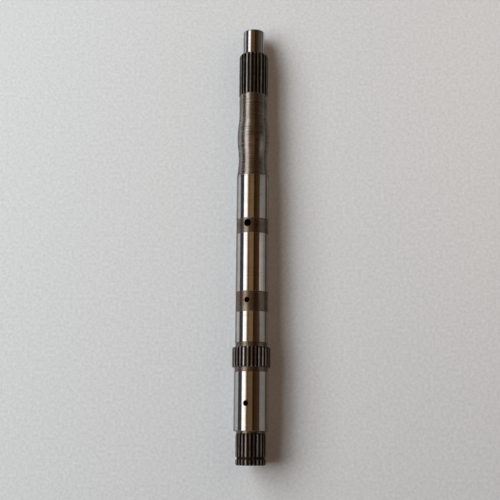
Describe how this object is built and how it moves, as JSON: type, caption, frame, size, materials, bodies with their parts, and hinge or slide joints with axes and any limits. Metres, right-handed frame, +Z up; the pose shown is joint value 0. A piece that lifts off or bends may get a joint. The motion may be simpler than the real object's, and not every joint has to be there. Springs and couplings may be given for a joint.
{
  "type": "input shaft",
  "caption": "Slim one-piece steel gearbox input shaft with a pilot end, splined ends, a splined collar, ground bearing journals and drilled oil ports.",
  "frame": {"origin": "centre of the rear end face, on the axis of rotation, where the rear spline begins", "axes": "+Y along the shaft towards the pilot end, +Z up as the shaft lies, with the oil ports near the top"},
  "size_m": [0.0328, 0.3822, 0.0328],
  "materials": {
    "ground_steel": "ground journals and dark hardened skin"
  },
  "bodies": {
    "root": {"input_shaft": "ground_steel"}
  },
  "joints": []
}
